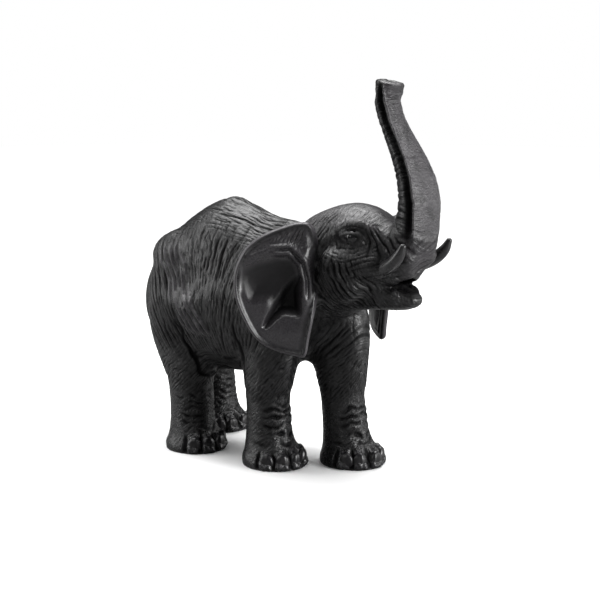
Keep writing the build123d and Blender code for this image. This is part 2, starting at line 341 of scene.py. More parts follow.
# The left side's form from rump to lips, in the order it is worked: (maker, its arguments, blend, tool)
FLANK_FORM = (
    (blob, ((-108, 27, 150), (15, 8, 9), -12, 28), 9, join),  # hip
    (blob, ((-72, 49, 138), (26, 6, 15), 0, 12), 14, carve),  # hollow of the flank
    (blob, ((-4, 37, 128), (12, 6, 26), 0, 12), 14, join),  # shoulder
)
CHEEK_FORM = (
    (blob, ((58, 37, 168), (8, 6, 10), 0, 20), 8, carve),  # temple
    (limb, ((60, 32, 152), (84, 25, 152), 7, 6), 8, join),  # cheek bone
    (blob, ((62, 26, 140), (15, 10, 13), -8, -20), 8, join),  # jaw muscle
    (blob, ((73, 32, 172), (9, 4.0, 4.6), -22, -16), 4, carve),  # eye socket
)
MUZZLE_FORM = (
    (limb, ((76, 18, 148), (89, 20.5, 149.6), 7, 6.6), 5, join),  # tusk sheath
    (limb, ((97, 8, 151.5), (104, 11, 157), 6.5, 5.5), 7, join),  # palate
    (limb, ((80, 15, 141), (92, 11, 143.5), 4.6, 4.2), 4, join),  # upper lip
    (limb, ((92, 11, 143.5), (99, 4, 146), 4.2, 4), 4, join),
    (limb, ((78, 15.5, 134.5), (93, 11, 131.5), 4.2, 3.2), 4, join),  # lower lip
    (limb, ((93, 11, 131.5), (102.5, 3.5, 129.5), 3.2, 2.4), 4, join),
)


def lid_arc(side, first, last, radii, out, tube):
    """Short bars along an oval round an eye; angles in degrees, 0 ahead and 90 up."""
    turn = math.radians(LID_TURN)
    ahead = np.array([math.cos(turn), -side * math.sin(turn), 0])
    outward = np.array([math.sin(turn), side * math.cos(turn), 0])
    middle = EYE * (1, side, 1) + outward * out
    ring = []
    for angle in np.radians(np.linspace(first, last, 7)):
        long, tall = radii[0] * math.cos(angle), radii[1] * math.sin(angle)
        ring.append(middle + long * ahead + (0, 0, tall) - 0.05 * long**2 * outward)
    return bars_through(ring, tube)


TIP = np.array([78.5, 0, 270.5])  # the middle of the trunk's end
TIP_SLOPE = -0.26  # fall of the end towards the trunk's open front
TIP_RIM = (6.4, 7.2)  # half sizes of its rim's middle line
TIP_OUTLINE = (9.3, 10.6)  # half sizes over the rim
TIP_LOW = 259  # height above which the trunk is trimmed to that outline
NOSTRIL = ((78.4, 3.4, 276), (77.8, 3.0, 263), 3.1, 1.6)
EAR_ROOT = (47, 37, 134)
EAR_SPREAD = 38.0  # degrees that each ear stands out from straight back


def ear_frame(side):
    """An ear's root, its way outward and the way its hollow faces."""
    spread = math.radians(EAR_SPREAD)
    outward = np.array([-math.cos(spread), side * math.sin(spread), 0])
    facing = np.array([math.sin(spread), side * math.cos(spread), 0])
    return np.array([EAR_ROOT[0], side * EAR_ROOT[1], EAR_ROOT[2]]), outward, facing


# Places down an ear's front edge, as (out, up, height over its plane)
EAR_SEAM = ((9, 33, -3.5), (5, 22, -2.0), (3, 6, -2.0), (2, -10, -3.0))
SEAM_RADIUS = 5
SEAM_SUNK = 4.5


def ear_base(side):
    """Bars that carry the head's skin out to the ear's front edge."""
    root, outward, facing = ear_frame(side)
    spots = [
        root + out * outward + (high - SEAM_SUNK) * facing + (0, 0, up) for out, up, high in EAR_SEAM
    ]
    return bars_through(spots, SEAM_RADIUS)


def rim_bars():
    """Short bars in a ring round the trunk's end."""
    ring = []
    for angle in np.linspace(0, 2 * math.pi, 15):
        x, y = 1.2 + TIP_RIM[0] * math.cos(angle), TIP_RIM[1] * math.sin(angle)
        ring.append(TIP + (x, y, TIP_SLOPE * x - 3.0))
    return bars_through(ring, 2.2)


def above_tip():
    """The space over the trunk's slanting end."""

    def distance(x, y, z):
        return (TIP[2] + 0.8 + TIP_SLOPE * (x - TIP[0]) - z) / math.hypot(1, TIP_SLOPE)

    return TIP - 16, TIP + 16, distance


def beside_tip():
    """The space round the trunk's end, beyond its rim."""

    def distance(x, y, z):
        reach = np.sqrt(((x - TIP[0] - 1.8) / TIP_OUTLINE[0]) ** 2 + (y / TIP_OUTLINE[1]) ** 2)
        return np.maximum(9 * (1 - reach), TIP_LOW - z)

    return TIP - 18, TIP + 18, distance


def body_field():
    """One field for torso, head, trunk and legs, with the carver's anatomy."""
    field = closed_up(field_of_node(BODY_NODES[0]), 7.0)
    for node in BODY_NODES[1:]:
        field = np.minimum(field, field_of_node(node))
    field = blurred(field, 1.6)

    # Spine and crown
    work(field, limb((-118, 0, 158), (-64, 0, 181), 5, 6), 10)
    work(field, limb((-30, 0, 172), (6, 0, 168), 4, 4), 10)
    work(field, blob((54, 0, 163), (29, 24, 25.2)), 8)
    for side in SIDES.values():
        for maker, arguments, blend, tool in FLANK_FORM:
            work(field, mirrored(maker, arguments, side), blend, tool)
        for bar in ear_base(side):
            work(field, bar, 5)
        for maker, arguments, blend, tool in CHEEK_FORM:
            work(field, mirrored(maker, arguments, side), blend, tool)
        for bar in bars_through(BROW * np.array([1, side, 1]), 2.4):
            work(field, bar, 7)
        for *arc, blend in LIDS:
            for bar in lid_arc(side, *arc):
                work(field, bar, blend)
        for maker, arguments, blend, tool in MUZZLE_FORM:
            work(field, mirrored(maker, arguments, side), blend, tool)
    # Feet that spread to the floor
    for name in LEG_NAMES:
        foot = centre_of(f"leg_{name}")
        work(field, blob((foot[0] + 1, foot[1], 2), (21.5, 20, 5)), 8)
    # Mouth cavity and the hollow of the lower lip
    work(field, blob((88, 0, 139.4), (13, 10, 2.6), 0, 8), 1.5, carve)
    work(field, limb((84, 0, 133), (100, 0, 130.5), 5.5, 3.0), 4)
    # The trunk's tip: a thick slanting rim, its flat end and the nostrils
    for bar in rim_bars():
        work(field, bar, 6)
    work(field, above_tip(), 1.5, carve)
    work(field, beside_tip(), 1.5, carve)
    for side in SIDES.values():
        work(field, mirrored(limb, NOSTRIL, side), 1.5, carve)
    return field


# ---------------- places along the trunk
# (x, z) up the trunk's middle, as the CAD's trunk runs
TRUNK_LINE = np.array(
    [
        *((103, 176), (104.5, 192), (102, 206), (96.8, 218.5)),
        *((89.8, 231), (82.3, 244), (77.5, 258), (78.5, 271.5)),
    ]
)
TRUNK_HALF_WIDTHS = (16.5, 15.6, 14.8, 12.8, 10.9, 9.6, 9.6, 10.8)
TRUNK_HALF_DEPTHS = (15.5, 13.2, 12.0, 10.8, 9.2, 8.2, 8.2, 9.4)
TRUNK_STEPS = np.diff(TRUNK_LINE, axis=0)
TRUNK_LENGTHS = np.linalg.norm(TRUNK_STEPS, axis=1)
TRUNK_STARTS = np.concatenate([[0], np.cumsum(TRUNK_LENGTHS)])
TRUNK_PLACES = TRUNK_STARTS[1:] - TRUNK_LENGTHS / 2
TRUNK_AHEAD = np.stack([TRUNK_STEPS[:, 1], -TRUNK_STEPS[:, 0]], 1) / TRUNK_LENGTHS[:, None]


def trunk_places(points):
    """How far up the trunk each point is, its offset to the open front, and the half sizes there."""
    flat = points[:, [0, 2]]
    best = np.full(len(points), np.inf)
    place = np.zeros(len(points))
    front = np.zeros(len(points))
    last = len(TRUNK_STEPS) - 1
    for index, (step, length) in enumerate(zip(TRUNK_STEPS, TRUNK_LENGTHS)):
        offset = flat - TRUNK_LINE[index]
        # Beyond the two ends the line runs on straight.
        share = np.clip(offset @ step / length**2, -9 if index == 0 else 0, 9 if index == last else 1)
        offset = offset - share[:, None] * step
        gap = np.hypot(offset[:, 0], offset[:, 1])
        closer = gap < best
        best = np.where(closer, gap, best)
        place = np.where(closer, TRUNK_STARTS[index] + share * length, place)
        front = np.where(closer, offset @ TRUNK_AHEAD[index], front)
    wide = np.interp(place, TRUNK_STARTS, TRUNK_HALF_WIDTHS)
    deep = np.interp(place, TRUNK_STARTS, TRUNK_HALF_DEPTHS)
    return place, front, wide, deep


# ---------------- relief of the hide
TOE_TURNS = {"front": (-64, -32, 0, 32, 64), "rear": (-48, -16, 16, 48)}  # degrees from straight ahead
TOE_RISE = 1.5
TOE_CUT = 2.9


def round_foot(points, name):
    """Angle from straight ahead and distance of points round a foot's middle."""
    foot = centre_of(f"leg_{name}")
    side = SIDES[name.split("_")[1]]
    x, y = points[:, 0] - foot[0], side * (points[:, 1] - foot[1])
    return np.arctan2(y, x), np.hypot(x, y)


def near_line(flat, corners):
    """Distance of flat points from a bent line of corners."""
    gap = np.full(len(flat), np.inf)
    for start, end in zip(np.array(corners, float), np.array(corners[1:], float)):
        way = end - start
        share = np.clip(((flat - start) @ way) / (way @ way), 0, 1)
        gap = np.minimum(gap, np.linalg.norm(flat - start - share[:, None] * way, axis=1))
    return gap


# Where the limbs fold against the flank on the right side, as (x, z), with each left limb's shift
REAR_FOLD = ((-92, 142), (-86, 124), (-78, 98), (-69, 73), (-66, 58))
HAUNCH_FOLD = ((-92, 156), (-84, 141), (-73, 122), (-60, 104), (-52, 92))
FRONT_FOLD = ((-27, 124), (-24, 103), (-23, 86), (-24, 70), (-23, 60))
LEFT_SHIFTS = (-26, 38)
RIDGE_HEIGHTS = (1.3, 2.1, 1.9, 1.4, 1.0)  # of the slack folds, from the foremost to the rearmost
RIDGE_FIRST = 6
RIDGE_SPACING = 5.6


def shifted(corners, shift):
    """A bent line's corners moved along X."""
    return np.add(corners, (shift, 0))


def limb_folds(points):
    """Cut depth of the folds where thigh and shoulder meet the flank."""
    _, y, z = points.T
    strayed = (points + 2.4 * noise(points / 9)[:, None])[:, [0, 2]]
    total = np.zeros(len(points))
    for corners, shift, depth in zip((REAR_FOLD, FRONT_FOLD), LEFT_SHIFTS, (1.5, 1.1)):
        for side in SIDES.values():
            gap = near_line(strayed, shifted(corners, shift if side > 0 else 0))
            shown = smooth_step(side * y, 12, 22) * (1 - smooth_step(z, 74, 118))
            total += depth * bell(gap, 0, 1.3) * shown
    return total


def haunch_ridges(points):
    """Height of the long slack folds that run down in front of each thigh."""
    _, y, z = points.T
    strayed = (points + 1.6 * noise(points / 16 + 2.5)[:, None])[:, [0, 2]]
    total = np.zeros(len(points))
    for side in SIDES.values():
        start = RIDGE_FIRST + (LEFT_SHIFTS[0] if side > 0 else 0)
        for number, height in enumerate(RIDGE_HEIGHTS):
            gap = near_line(strayed, shifted(HAUNCH_FOLD, start - RIDGE_SPACING * number))
            shown = smooth_step(side * y, 12, 22) * bump_window(z, 98, 146, 12)
            broken = smooth_step(noise(points / 19 + number), -0.8, 0.0)
            total += height * bell(gap, 0, 1.3) * shown * broken
    return total


def flank_flow(points):
    """Coordinates across and along the folds of barrel, chest and rump, which fan up from the belly."""
    x, y, z = points.T
    # Round the rump the lines go by the angle instead.
    behind = np.clip(-95 - x, 0, None)
    wrapped = np.where(x < -95, -95 - 45 * np.arctan2(behind, np.abs(y) + 1e-6), x)
    held = np.clip(wrapped, -112, 20)
    across = 96 * (held + 45) / (np.clip(z, 50, None) - 14) + wrapped - held
    return across + 0.9 * noise(points / 30 + 3.3), z


def flank_relief(points, normals):
    """Cut depth over barrel, chest and rump."""
    x, _, z = points.T
    across, along = flank_flow(points)
    high = smooth_step(z, 96, 122)
    rear = (1 - smooth_step(x, -96, -66)) * (1 - smooth_step(z, 128, 150))
    # The fan narrows low down, so its lines are spaced wider there.
    long_folds, hatch = (
        (1 - high) * furrows(across, along, low_spacing, seed, reach=reach)
        + high * furrows(across, along, high_spacing, seed, reach=reach)
        for low_spacing, high_spacing, seed, reach in ((7.0, 4.7, 1.5, 60), (3.8, 2.5, 5.5, 13))
    )
    stray = furrows(across + 0.35 * along, along, 3.1, 8.5, reach=8)
    patch = smooth_step(noise(points / 17 + 6.6), -0.4, 0.5)
    other = smooth_step(noise(points / 12 + 16.6), -0.4, 0.5)
    hip = np.maximum(*(near(points, (-86, side * 40, 145), (34, 32, 26)) for side in SIDES.values()))
    belly = smooth_step(-normals[:, 2], 0.55, 0.9)
    cuts = long_folds * (0.4 + 0.7 * patch + 0.5 * rear)
    cuts += hatch * (0.4 + 0.6 * other) + 0.6 * stray * (1 - other)
    return cuts * (1 - 0.6 * hip) * (1 - 0.5 * belly)


def back_flow(points):
    """Coordinates across and along the lines of the back, which run from rump to neck."""
    x, y, z = points.T
    return 38 * np.arctan2(y, z - 112) - np.sign(y) * 0.35 * z + 0.8 * noise(points / 30 + 8.1), x


def back_relief(points):
    """Cut depth of the lines that run along the back."""
    across, along = back_flow(points)
    wide = furrows(across, along, 3.6, 9.5, reach=22)
    return wide + 0.65 * furrows(across + 0.12 * along, along, 2.4, 2.5, reach=10)


def leg_flow(points, name):
    """Coordinates across and along the slanting lines of one leg."""
    angle, _ = round_foot(points, name)
    back = 19 * np.abs(angle)
    return 0.75 * points[:, 2] + 0.65 * back + 1.2 * noise(points / 13 + 4.4), back - points[:, 2]


def leg_relief(points, name):
    """Cut depth over one leg: fine slanting lines above, pillow folds at the ankle."""
    z = points[:, 2]
    angle, _ = round_foot(points, name)
    across, along = leg_flow(points, name)
    back = 19 * np.abs(angle)
    front = 1 - smooth_step(np.abs(angle), 1.1, 2.0)
    drift = noise(points / 11 + 4.4)
    fine = furrows(across, along, 2.5, 3.5, reach=12)
    coarse = furrows(across + 2 * drift, along, 5.0, 6.5, reach=14)
    patch = smooth_step(noise(points / 8 + 9.2), -0.5, 0.4)
    spacing, strength = (6.2, 1.9) if name.startswith("front") else (4.8, 1.1)
    fold = furrows(z + 2.6 * drift + 1.6 * front, back, spacing, 7.5, reach=15, sharp=1.3)
    small = furrows(z + 0.5 * back + 2 * drift, back, 3.0, 1.5, reach=7)
    upper = smooth_step(z, 40, 50) * (0.75 * fine + 0.6 * coarse * patch)
    ankle = bump_window(z, 17, 42, 7) * (0.1 + 0.9 * front)
    return upper + ankle * (strength * fold * (0.35 + 0.65 * patch) + 0.5 * small)


def toe_relief(points, name):
    """Lobes of the toes, as a rise, and the cuts between them."""
    z = points[:, 2]
    angle, reach = round_foot(points, name)
    turns = TOE_TURNS[name.split("_")[0]]
    phase = (angle - math.radians(turns[0])) / math.radians(turns[1] - turns[0])
    last = len(turns) - 1
    within = smooth_step(phase, -0.8, -0.45) * (1 - smooth_step(phase, last + 0.45, last + 0.8))
    phase = phase + 0.12 * noise(points / 9 + 1.1)
    top = 15 + 3 * noise(points / 14 + 2.1)
    low = (1 - smooth_step(z, top - 6, top)) * smooth_step(reach, 9, 15)
    cut = np.abs(np.sin(np.pi * phase)) ** 7
    return low * within * (TOE_RISE - TOE_CUT * cut)


def head_flow(points):
    """Coordinates across and along the face's lines, which run nearly upright."""
    x, _, z = points.T
    return x + 0.3 * (z - 140) + 0.8 * noise(points / 15 + 1.7), z


def head_relief(points):
    """Cut depth over the head."""
    x, y, z = points.T
    across, along = head_flow(points)
    wobble = 1.2 * noise(points / 15 + 1.7)
    # Cheek folds, upright
    cheek = bump_window(x, 44, 80, 7) * bump_window(z, 122, 152, 6)
    deep = furrows(across, along, 4.0, 2.5, reach=11, sharp=1.8)
    cuts = cheek * (1.9 * deep + 0.7 * furrows(across, along, 2.3, 4.5, reach=6))
    # Small cross-hatched pits over the whole face
    pits = furrows(x + 0.5 * z, z, 2.9, 11.5, reach=5) * furrows(z - 0.4 * x, x, 3.1, 12.5, reach=5)
    cuts += 0.9 * pits * (1 - smooth_step(z, 170, 184)) * (1 - smooth_step(x, 84, 96))
    # Folds between eye and trunk, fanning from above the brow
    fan = np.arctan2(190 - z, x - 80)
    far = np.hypot(x - 80, z - 190)
    muzzle = bump_window(far, 15, 40, 6) * smooth_step(x, 80, 87) * smooth_step(z, 150, 156)
    muzzle *= 1 - smooth_step(fan, 1.3, 1.7)
    cuts += muzzle * 1.3 * furrows(26 * fan + wobble, far, 4.0, 6.5, reach=15, sharp=1.7)
    # Fine rings round the bags under the eye
    eye_far = np.hypot((x - EYE[0]) / 1.7, z - EYE[2] - 0.12 * (x - EYE[0]))
    under = bump_window(eye_far, 4.5, 15, 2) * (1 - smooth_step(z, 163.5, 167.5))
    cuts += under * 0.9 * furrows(eye_far + 1.1 * wobble, x, 2.5, 8.5, reach=6)
    over = bump_window(eye_far, 4.2, 7.0, 1.2) * smooth_step(z, 171, 173.5)
    cuts += over * 0.9 * furrows(eye_far + 0.4 * wobble, x, 2.4, 5.5, reach=30)
    # Folds at the ear's root
    root = bump_window(x, 30, 50, 7) * bump_window(z, 148, 182, 6) * smooth_step(np.abs(y), 14, 22)
    cuts += root * 1.4 * furrows(x - 0.5 * z + wobble, z, 3.4, 3.5, reach=14)
    # Temple, upright and faint
    temple = bump_window(x, 48, 62, 6) * bump_window(z, 150, 172, 6)
    cuts += temple * 0.6 * furrows(x + wobble, z, 3.4, 5.5, reach=14)
    # Crown
    crown = smooth_step(z, 176, 184)
    cuts += crown * 0.25 * furrows(x + 2 * wobble, y, 4.4, 7.5, reach=10)
    # Palate and lip lines
    palate = smooth_step(x, 96, 104) * bump_window(z, 148, 174, 6)
    cuts += palate * 0.7 * furrows(z - 0.55 * y + wobble, y, 4.2, 1.5, reach=20, sharp=1.6)
    sheath = bump_window(x, 76, 98, 5) * bump_window(z, 144, 158, 3)
    cuts += sheath * 0.8 * furrows(z - 0.3 * x + wobble, x, 3.6, 4.5, reach=18)
    lip = smooth_step(x, 76, 88) * (1 - smooth_step(z, 140, 147))
    cuts += lip * 0.4 * furrows(z + 0.5 * x + wobble, x, 3.2, 7.5, reach=16)
    # Throat
    throat = bump_window(x, 20, 74, 8) * (1 - smooth_step(z, 116, 126))
    cuts += throat * 0.8 * furrows(x + 0.4 * np.abs(y) + wobble, y, 4.2, 4.5, reach=20)
    return cuts


def trunk_relief(place, front, deep, points):
    """Cut depth along the trunk: rings on its closed side, fine lines on its open front."""
    y = points[:, 1]
    wobble = 0.9 * noise(points / 9 + 2.2)
    closed = 1 - smooth_step(front / deep, 0.3, 0.6)
    rings = furrows(place + 2 * wobble, y, 4.9, 3.5, reach=12, sharp=1.4)
    fine = furrows(place + wobble, y, 2.1, 6.5, reach=12)
    fade = 1 - 0.45 * smooth_step(place, 55, 85)
    open_lines = furrows(place + 1.6 * wobble, y, 2.7, 8.5, reach=10)
    patch = 0.5 + 0.5 * smooth_step(noise(points / 13 + 5.5), -0.5, 0.4)
    closed_cuts = fade * (1.1 * rings * patch + 0.5 * fine)
    return closed * closed_cuts + (1 - closed) * (0.2 * open_lines + 0.1 * fine)


def open_front(points, place, front, wide, deep, share):
    """Flattens the trunk's open front and cuts the groove behind its two edges."""
    edge = 0.5 * deep
    flat = np.where(front > edge, edge + 0.5 * (front - edge), front)
    ahead = unit(np.stack([np.interp(place, TRUNK_PLACES, part) for part in TRUNK_AHEAD.T], 1))
    shown = smooth_step(place, -14, 2) * (1 - smooth_step(place, 93, 101)) * share
    moved = points.copy()
    moved[:, [0, 2]] += ((flat - front) * shown)[:, None] * ahead
    side = smooth_step(np.abs(points[:, 1]) / wide, 0.45, 0.7)
    lip = bell(front, edge + 0.3, 1.3) * side
    groove = bell(front, edge - 2.7, 1.8) * side
    return moved, shown * (lip - 2.8 * groove)


def crest_of(rise):
    """How much a point stands out of its surroundings, 0 in cuts to 1 on ridges."""
    return np.clip(0.5 + rise / 1.6, 0, 1)


# ---------------- meshes
def new_object(name, points, faces):
    """A smooth-shaded mesh object from carving millimetres."""
    mesh = bpy.data.meshes.new(name)
    mesh.from_pydata(to_row(points).tolist(), [], faces)
    mesh.polygons.foreach_set("use_smooth", np.ones(len(mesh.polygons), bool))
    obj = bpy.data.objects.new(name, mesh)
    bpy.context.scene.collection.objects.link(obj)
    return obj


def mark(obj, name, values):
    """Stores a number or a vector for each point, for the materials to read."""
    values = np.ascontiguousarray(values, np.float32)
    kind, field_name = ("FLOAT", "value") if values.ndim == 1 else ("FLOAT_VECTOR", "vector")
    layer = obj.data.attributes.new(name, kind, "POINT")
    layer.data.foreach_set(field_name, values.ravel())


def refined(name, points, faces, levels):
    """Points in carving millimetres and quads of the mesh after smooth subdivision."""
    rough = new_object(name, points, faces)
    finer = rough.modifiers.new("finer", "SUBSURF")
    finer.levels = levels
    shown = rough.evaluated_get(bpy.context.evaluated_depsgraph_get())
    mesh = bpy.data.meshes.new_from_object(shown)
    corners = np.empty(len(mesh.loops), np.int32)
    mesh.loops.foreach_get("vertex_index", corners)
    bpy.data.objects.remove(rough)
    return points_of(mesh), corners.reshape(-1, 4)


def normals_of(points, quads):
    """Area-weighted unit normals at the points of a quad mesh."""
    a, b, c, d = (points[quads[:, k]] for k in range(4))
    facing = np.cross(c - a, d - b)
    total = np.stack(
        [np.bincount(quads.ravel(), np.repeat(facing[:, axis], 4), len(points)) for axis in range(3)], 1
    )
    return unit(total)


def volume_sign(points, quads):
    """Positive when the quads face outwards."""
    a, b, c, d = (points[quads[:, k]] for k in range(4))
    return ((a + b + c + d) / 4 * np.cross(c - a, d - b)).sum()


# ---------------- the joints between blanks
NECK = ((26.0, 142.0), 26.0)  # a point of the joint plane (x, z) and its normal's rise, degrees
TRUNK_ROOT = ((103.0, 176.0), 70.0)
LEG_JOINT_Z = 54.0


def beyond(points, plane):
    """How far in mm the points lie beyond a joint plane."""
    (x, z), rise = plane
    rise = math.radians(rise)
    return (points[..., 0] - x) * math.cos(rise) + (points[..., 2] - z) * math.sin(rise)


def on_trunk(points):
    """Where the trunk's joint plane may cut, since the tip leans back over the head."""
    return (points[..., 0] > 84) | (points[..., 2] > 203)


# Painted shade: the eye sockets and the mouth are painted darker.
HOLLOWS = (((75, 27, 171.5), (14, 12, 8.5)), ((89, 8, 139.5), (14, 10, 6)))  # eye sockets and mouth


def hollow_shade_share(points):
    """1 deep in the eye sockets and the mouth, which get painted shade."""
    depths = [near(points, flipped(spot, side), radii) for side in SIDES.values() for spot, radii in HOLLOWS]
    return np.max(depths, 0)


def painted_highlight_share(points, trunk, open_share, crown, haunch):
    """Share of painted highlight, a smooth grey: trunk front, palate, brow, crown and folds."""
    patchiness = smooth_step(noise(points / 8 + 12.5), -0.1, 0.5)
    shares = [
        open_share * (0.66 - 0.36 * patchiness),
        0.45 * haunch.clip(0, 1.6),
        0.8 * (1 - 0.5 * trunk) * near(points, (106, 0, 162), (19, 26, 26)),
        0.32 * crown,
    ]
    shares += [0.6 * near(points, (84, side * 23, 177), (9, 8, 4)) for side in SIDES.values()]
    return np.max(shares, 0)


def carved(points, quads):
    """The skin with its relief, and what the materials need to know of each point."""
    normals = normals_of(points, quads)
    _, y, z = points.T
    none = np.zeros(len(points))
    place, front, wide, deep = trunk_places(points)
    trunk = np.where(on_trunk(points), smooth_step(beyond(points, TRUNK_ROOT), -9, 5), 0)
    head = smooth_step(beyond(points, NECK), -10, 6) * smooth_step(z, 78, 92) * (1 - trunk)
    body = (1 - head - trunk).clip(0)
    leg = 1 - smooth_step(z, 68, 92)
    back = smooth_step(normals[:, 2], 0.5, 0.85) * smooth_step(z, 120, 140)
    shares = {
        "back": body * (1 - leg) * back,
        "leg": body * leg,
        "head": head,
        "trunk": trunk,
        "flank": body * (1 - leg) * (1 - back),
    }
    flows = {
        "flank": np.stack([*flank_flow(points), none], 1),
        "back": np.stack([*back_flow(points), none], 1),
        "leg": np.zeros((len(points), 3)),
        "head": np.stack([*head_flow(points), none], 1),
        "trunk": np.stack([place, y, none], 1),
    }

    feet = np.stack([round_foot(points, name)[1] for name in LEG_NAMES])
    nearest = feet.argmin(0)
    rise = np.zeros(len(points))
    for number, name in enumerate(LEG_NAMES):
        rows = np.flatnonzero((nearest == number) & (z < 94))
        held = points[rows]
        rise[rows] += toe_relief(held, name) - shares["leg"][rows] * leg_relief(held, name)
        flows["leg"][rows, :2] = np.stack(leg_flow(held, name), 1)
        flows["leg"][rows, 2] = 7 * number
    haunch = body * haunch_ridges(points)
    rise -= shares["flank"] * flank_relief(points, normals) + shares["back"] * back_relief(points)
    rise += haunch - body * limb_folds(points)
    rise -= head * head_relief(points)
    rows = np.flatnonzero(trunk > 0)
    rise[rows] -= trunk[rows] * trunk_relief(place[rows], front[rows], deep[rows], points[rows])
    rise += 0.12 * layered(points, 5.0, 2)

    rows = np.flatnonzero(on_trunk(points) & (z > 150))
    near_trunk = smooth_step(beyond(points, TRUNK_ROOT), -20, 2)
    moved, cut = open_front(*(values[rows] for values in (points, place, front, wide, deep, near_trunk)))
    points = points.copy()
    points[rows] = moved
    rise[rows] += cut
    # The soles stay flat on the table.
    rise *= smooth_step(z, 0.3, 2.0)
    points = points + normals * rise[:, None]
    points[:, 2] = np.maximum(points[:, 2], 0)
    open_share = trunk * smooth_step(front / deep, 0.35, 0.55)
    # The top of the head, which gets a painted highlight
    crown = head * smooth_step(normals[:, 2], 0.35, 0.9) * smooth_step(z, 165, 178)
    marks = {
        # crest paints shade: black in the cuts, and darker still in the eye sockets and mouth
        "crest": crest_of(rise) * (1 - 0.65 * hollow_shade_share(points)),
        "polish": shares["leg"] * bump_window(z, -5, 38, 8),
        # painted highlight on trunk front, palate, brow, crown and haunch folds
        "bare": painted_highlight_share(points, trunk, open_share, crown, haunch),
    }
    marks |= {f"{name}_flow": flow for name, flow in flows.items()}
    marks |= {f"{name}_share": share for name, share in shares.items()}
    return points, marks


rough_points, rough_triangles, rough_quads = skin_of(body_field())
skin, quads = refined("rough_skin", rough_points, rough_quads.tolist() + rough_triangles.tolist(), 1)
if volume_sign(skin, quads) < 0:
    quads = quads[:, ::-1]
skin, skin_marks = carved(skin, quads)


# ---------------- cutting at the joints
def piece_of_faces(points, quads):
    """Which body piece each face belongs to: 0 torso, 1 head, 2 trunk, 3 to 6 legs."""
    middle = points[quads].mean(1)
    label = np.zeros(len(quads), int)
    label[(beyond(middle, NECK) > 0) & (middle[:, 2] > 75)] = 1
    label[(beyond(middle, TRUNK_ROOT) > 0) & on_trunk(middle)] = 2
    low = middle[:, 2] < LEG_JOINT_Z
    feet = np.array([centre_of(f"leg_{name}")[:2] for name in LEG_NAMES])
    gaps = np.linalg.norm(middle[:, None, :2] - feet, axis=2)
    label[low] = 3 + gaps[low].argmin(1)
    return label


PIECES = ("torso", "head", "trunk") + tuple(f"leg_{name}" for name in LEG_NAMES)
label = piece_of_faces(skin, quads)
lowest = np.full(len(skin), 99)
highest = np.full(len(skin), -1)
for k in range(4):
    np.minimum.at(lowest, quads[:, k], label)
    np.maximum.at(highest, quads[:, k], label)
shared = lowest != highest
for (low, high), plane in (((0, 1), NECK), ((1, 2), TRUNK_ROOT)):
    rows = shared & (lowest == low) & (highest == high)
    rise = math.radians(plane[1])
    skin[rows] -= beyond(skin[rows], plane)[:, None] * np.array([math.cos(rise), 0, math.sin(rise)])
rows = shared & (highest >= 3)
skin[rows, 2] = LEG_JOINT_Z
skin_normals = normals_of(skin, quads)


def body_piece(name, number):
    """One glued blank of the body, closed by a flat face at each joint."""
    faces = quads[label == number]
    used = np.unique(faces)
    place = np.full(len(skin), -1)
    place[used] = np.arange(len(used))
    obj = new_object(f"{name}_carving", skin[used], place[faces].tolist())
    for mark_name, values in skin_marks.items():
        mark(obj, mark_name, values[used])
    mesh = obj.data
    model = bmesh.new()
    model.from_mesh(mesh)
    bmesh.ops.holes_fill(model, edges=[e for e in model.edges if e.is_boundary], sides=0)
    model.to_mesh(mesh)
    model.free()
    mesh.normals_split_custom_set_from_vertices(skin_normals[used].tolist())
    show(obj, name, "ebonised_wood")
    return obj


def show(obj, node, slot):
    """Lets an object stand for a CAD node, with the finish of a record slot."""
    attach(obj, "root")
    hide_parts(node)
    obj.data.materials.append(FINISHES[slot])


# ---------------- ears
EAR_MIDDLE = (26, -2)
EAR_CUP_RADIUS = 95.0
# Corners of the ear's edge as (out from the root, height above the root)
EAR_EDGE = (
    *((-4, 22), (1, 42), (10, 45), (24, 41), (37, 35), (47, 26), (53, 12), (53, -4)),
    *((48, -19), (40, -33), (29, -41), (15, -45), (6, -45), (3, -32), (-1, -12), (-4, 5)),
)


def rounded_loop(corners, count):
    """Points of a smooth closed curve through the corners."""
    corners = np.array(corners, float)
    place = np.linspace(0, len(corners), count, endpoint=False)
    index = place.astype(int)
    spots = (corners[(index + k) % len(corners)] for k in (-1, 0, 1, 2))
    return curve_through(*spots, (place - index)[:, None])


def loop_gap(spots, edge):
    """Distance of flat spots from a closed line."""
    return near_line(spots, np.vstack([edge, edge[:1]]))


# The bowl, its dark corner and the fold that frames them, as (out, up)
EAR_BOWL = (
    *((47, 14), (32, 20), (16, 21), (9.5, 11), (9, -4), (10, -17)),
    *((22, -18), (33, -26), (32, -9), (43, -8), (50, 4)),
)
EAR_CORNER = ((10, 9), (9.5, -4), (10.5, -16.5), (23, -17.5), (34, -26), (27, -12), (20, 0))
EAR_FOLD = ((30, 26), (16, 27), (7.5, 18), (4.5, 6), (4.5, -6))


def depth_within(spots, corners):
    """Distance inside a smooth closed curve; negative outside."""
    edge = rounded_loop(corners, 120)
    within = np.zeros(len(spots), bool)
    for start, end in zip(edge, np.roll(edge, -1, 0)):
        spans = (start[1] > spots[:, 1]) != (end[1] > spots[:, 1])
        share = (spots[:, 1] - start[1]) / (end[1] - start[1] + 1e-9)
        within ^= spans & (spots[:, 0] < start[0] + share * (end[0] - start[0]))
    gap = loop_gap(spots, edge)
    return np.where(within, gap, -gap)


